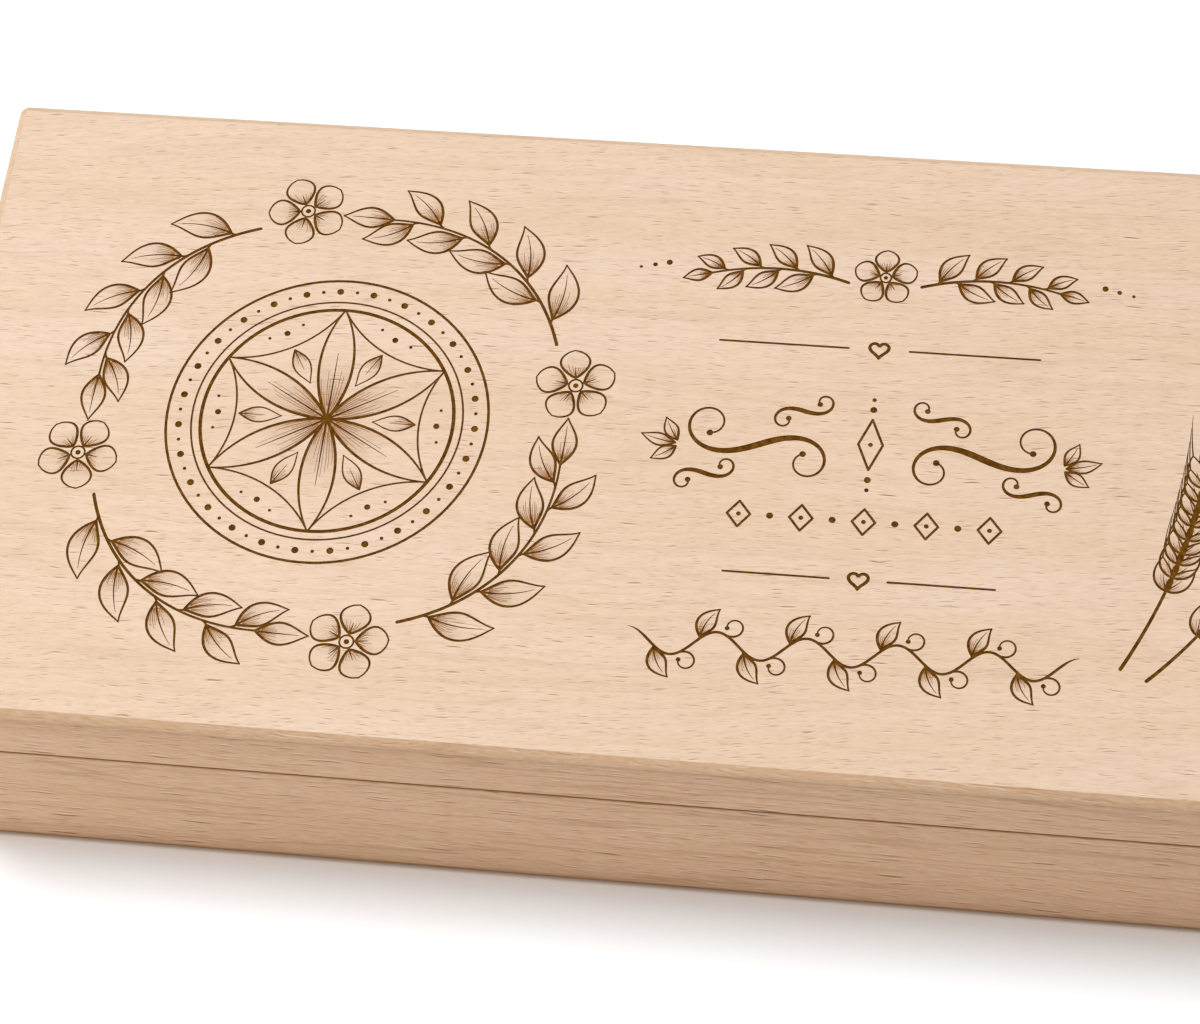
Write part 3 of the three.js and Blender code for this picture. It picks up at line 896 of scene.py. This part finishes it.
def seen_directly(tree):
    """1 for what the camera sees straight, by reflection or through glass, and 0 for other light."""
    path = add(tree, "ShaderNodeLightPath")
    either = number(tree, "MAXIMUM", path.outputs["Is Camera Ray"], path.outputs["Is Glossy Ray"])
    return number(tree, "MAXIMUM", either, path.outputs["Is Transmission Ray"])


def make_floor():
    """A white floor that keeps the box's shadow, with painted shade and light on it: a brown painted
    shadow in the narrow line where the box meets it, a faint painted warm bounce next to that, and,
    for the camera alone, a painted bluish light that raises it towards white a little way out. A wall
    that stands on it shuts off half of the space."""
    half_size = 3000.0
    at_wall = 0.5
    corners = [(x * half_size, y * half_size, 0.0) for x, y in ((-1, -1), (1, -1), (1, 1), (-1, 1))]
    material, tree = new_material("white_floor")
    # Painted shadow: a brown line on the floor within 0.8 mm of where the box stands on it
    painted_contact_shadow = number(tree, "POWER", openness(tree, 0.8, at_wall), 1.3)
    # Painted light: a faint warm bounce tinting the floor within 4 mm of the box
    colour = tint(tree, openness(tree, 4.0, at_wall), 1.0, linear("#fdf5ec"), linear("#fdfcfb"))
    colour = tint(tree, painted_contact_shadow, 1.0, linear("#a9845d"), colour)
    diffuse = add(tree, "ShaderNodeBsdfDiffuse", {"Color": colour})
    # Painted light: for camera rays alone the floor glows faintly blue, more the further it is from the box
    # and not at all where the box stands, which whitens the shadow's outer part
    painted_light_strength = number(tree, "MULTIPLY", number(tree, "POWER", openness(tree, 14.0, at_wall), 0.7), 0.3)
    painted_light_strength = number(tree, "MULTIPLY", painted_light_strength, painted_contact_shadow)
    seen = add(tree, "ShaderNodeLightPath").outputs["Is Camera Ray"]
    inputs = {"Color": linear("#dcf0ff"), "Strength": number(tree, "MULTIPLY", seen, painted_light_strength)}
    glow = add(tree, "ShaderNodeEmission", inputs)
    show(tree, add(tree, "ShaderNodeAddShader", {0: diffuse.outputs[0], 1: glow.outputs[0]}))
    new_object("floor", corners, [(0, 1, 2, 3)], (material,), [0])


def make_world():
    """A white world, which lights the box a little less than it shows."""
    ambient = 0.66
    world = bpy.data.worlds.new("white_room")
    world.use_nodes = True
    bpy.context.scene.world = world
    tree = world.node_tree
    tree.nodes.clear()
    strength = ramp(tree, seen_directly(tree), 0.0, 1.0, ambient, 1.0)
    show(tree, add(tree, "ShaderNodeBackground", {"Strength": strength}), "ShaderNodeOutputWorld")


def add_lamp(name, place, size, watts):
    """A round soft lamp aimed at the middle of the box's underside, which the camera doesn't see. Its
    place and size are in metres."""
    lamp = placed(name, bpy.data.lights.new(name, "AREA"))
    lamp.data.shape = "DISK"
    lamp.data.size = size
    lamp.data.energy = watts
    lamp.location = place
    lamp.rotation_mode = "QUATERNION"
    lamp.rotation_quaternion = (-Vector(place)).to_track_quat("-Z", "Y")
    lamp.visible_camera = False


def dress_pieces():
    """Gives the magnets their finish, and puts a copy with eased edges in place of each piece of wood
    or brass and the engraved board in place of the plain one."""
    quarter = math.radians(90)
    tilt = math.radians(2.5)
    # The walls' beech is darker and warmer than the top's: partly its own tone, partly painted shade like
    # that on the front. Its level faces take a lighter golden painted gap shade
    side = {
        "pale": "#dbaf85", "warm": "#d1a275", "stretch": 1.5, "thick": 1.6, "long": 1.5, "dashes": 1.7,
        "fibres": 1.2, "rim": "#b27e08"
    }
    top_wood = beech_material(
        "beech_sanded_top", (0, 0, -tilt), (0, 0, 0), "#f2d4b9", "#edccaa",
        long=1.25, dashes=1.2, scorched=True
    )
    long_wood = beech_material("beech_sanded_long", (quarter, 0, -tilt), (310, 40, 0), **side)
    end_wood = beech_material("beech_sanded_short", (quarter, quarter, 0), (130, 90, 20), **side)
    # Painted shade: the front chamfer gets a darker, warmer copy of the chamfer wood than the other three
    shaded_front_arris = beech_material(
        "beech_sanded_front_arris_painted_shade", (-quarter / 2, 0, tilt), (70, 500, 90), "#d3aa82", "#c89e72",
        stretch=1.4, long=1.4, fibres=0.8
    )
    other_arris = beech_material(
        "beech_sanded_arris", (0.6, 0.03, 0.04), (90, 300, 20), "#e7c6a2", "#dfb992", dashes=0.6, fibres=0.4
    )
    flat_wood = beech_material("beech_sanded_flat", (0, 0, 0), (50, 200, 20), "#ecceb2", "#e5c5a2")
    faint_burn = burnt_material("beech_browned", "#a06628", "#bb8446")
    deep_burn = burnt_material("beech_burnt", "#5a3608", "#85561a")
    brass = brass_material()
    nickel = nickel_material()
    for node in frame["nodes"]:
        if "magnet" in node:
            coat(frame["nodes"][node].data, nickel)
        elif node.startswith("hinge"):
            eased(node, brass, BRASS_EASING)
        elif "bottom" in node:
            eased(node, flat_wood, WOOD_EASING)
        elif "left" in node or "right" in node:
            eased(node, end_wood, WOOD_EASING)
        elif node != "lid_top_board":
            eased(node, long_wood, WOOD_EASING)
    make_top_board((top_wood, faint_burn, deep_burn, shaded_front_arris, long_wood, other_arris))


def main():
    """Sets up the camera, dresses the box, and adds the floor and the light."""
    make_camera()
    dress_pieces()
    make_floor()
    make_world()
    add_lamp("softbox", (-0.54, 0.21, 1.36), 0.42, 9.6)
    add_lamp("left_fill", (-0.24, -0.17, 0.1), 0.15, 0.08)
    bpy.context.scene.view_settings.view_transform = "Standard"


main()
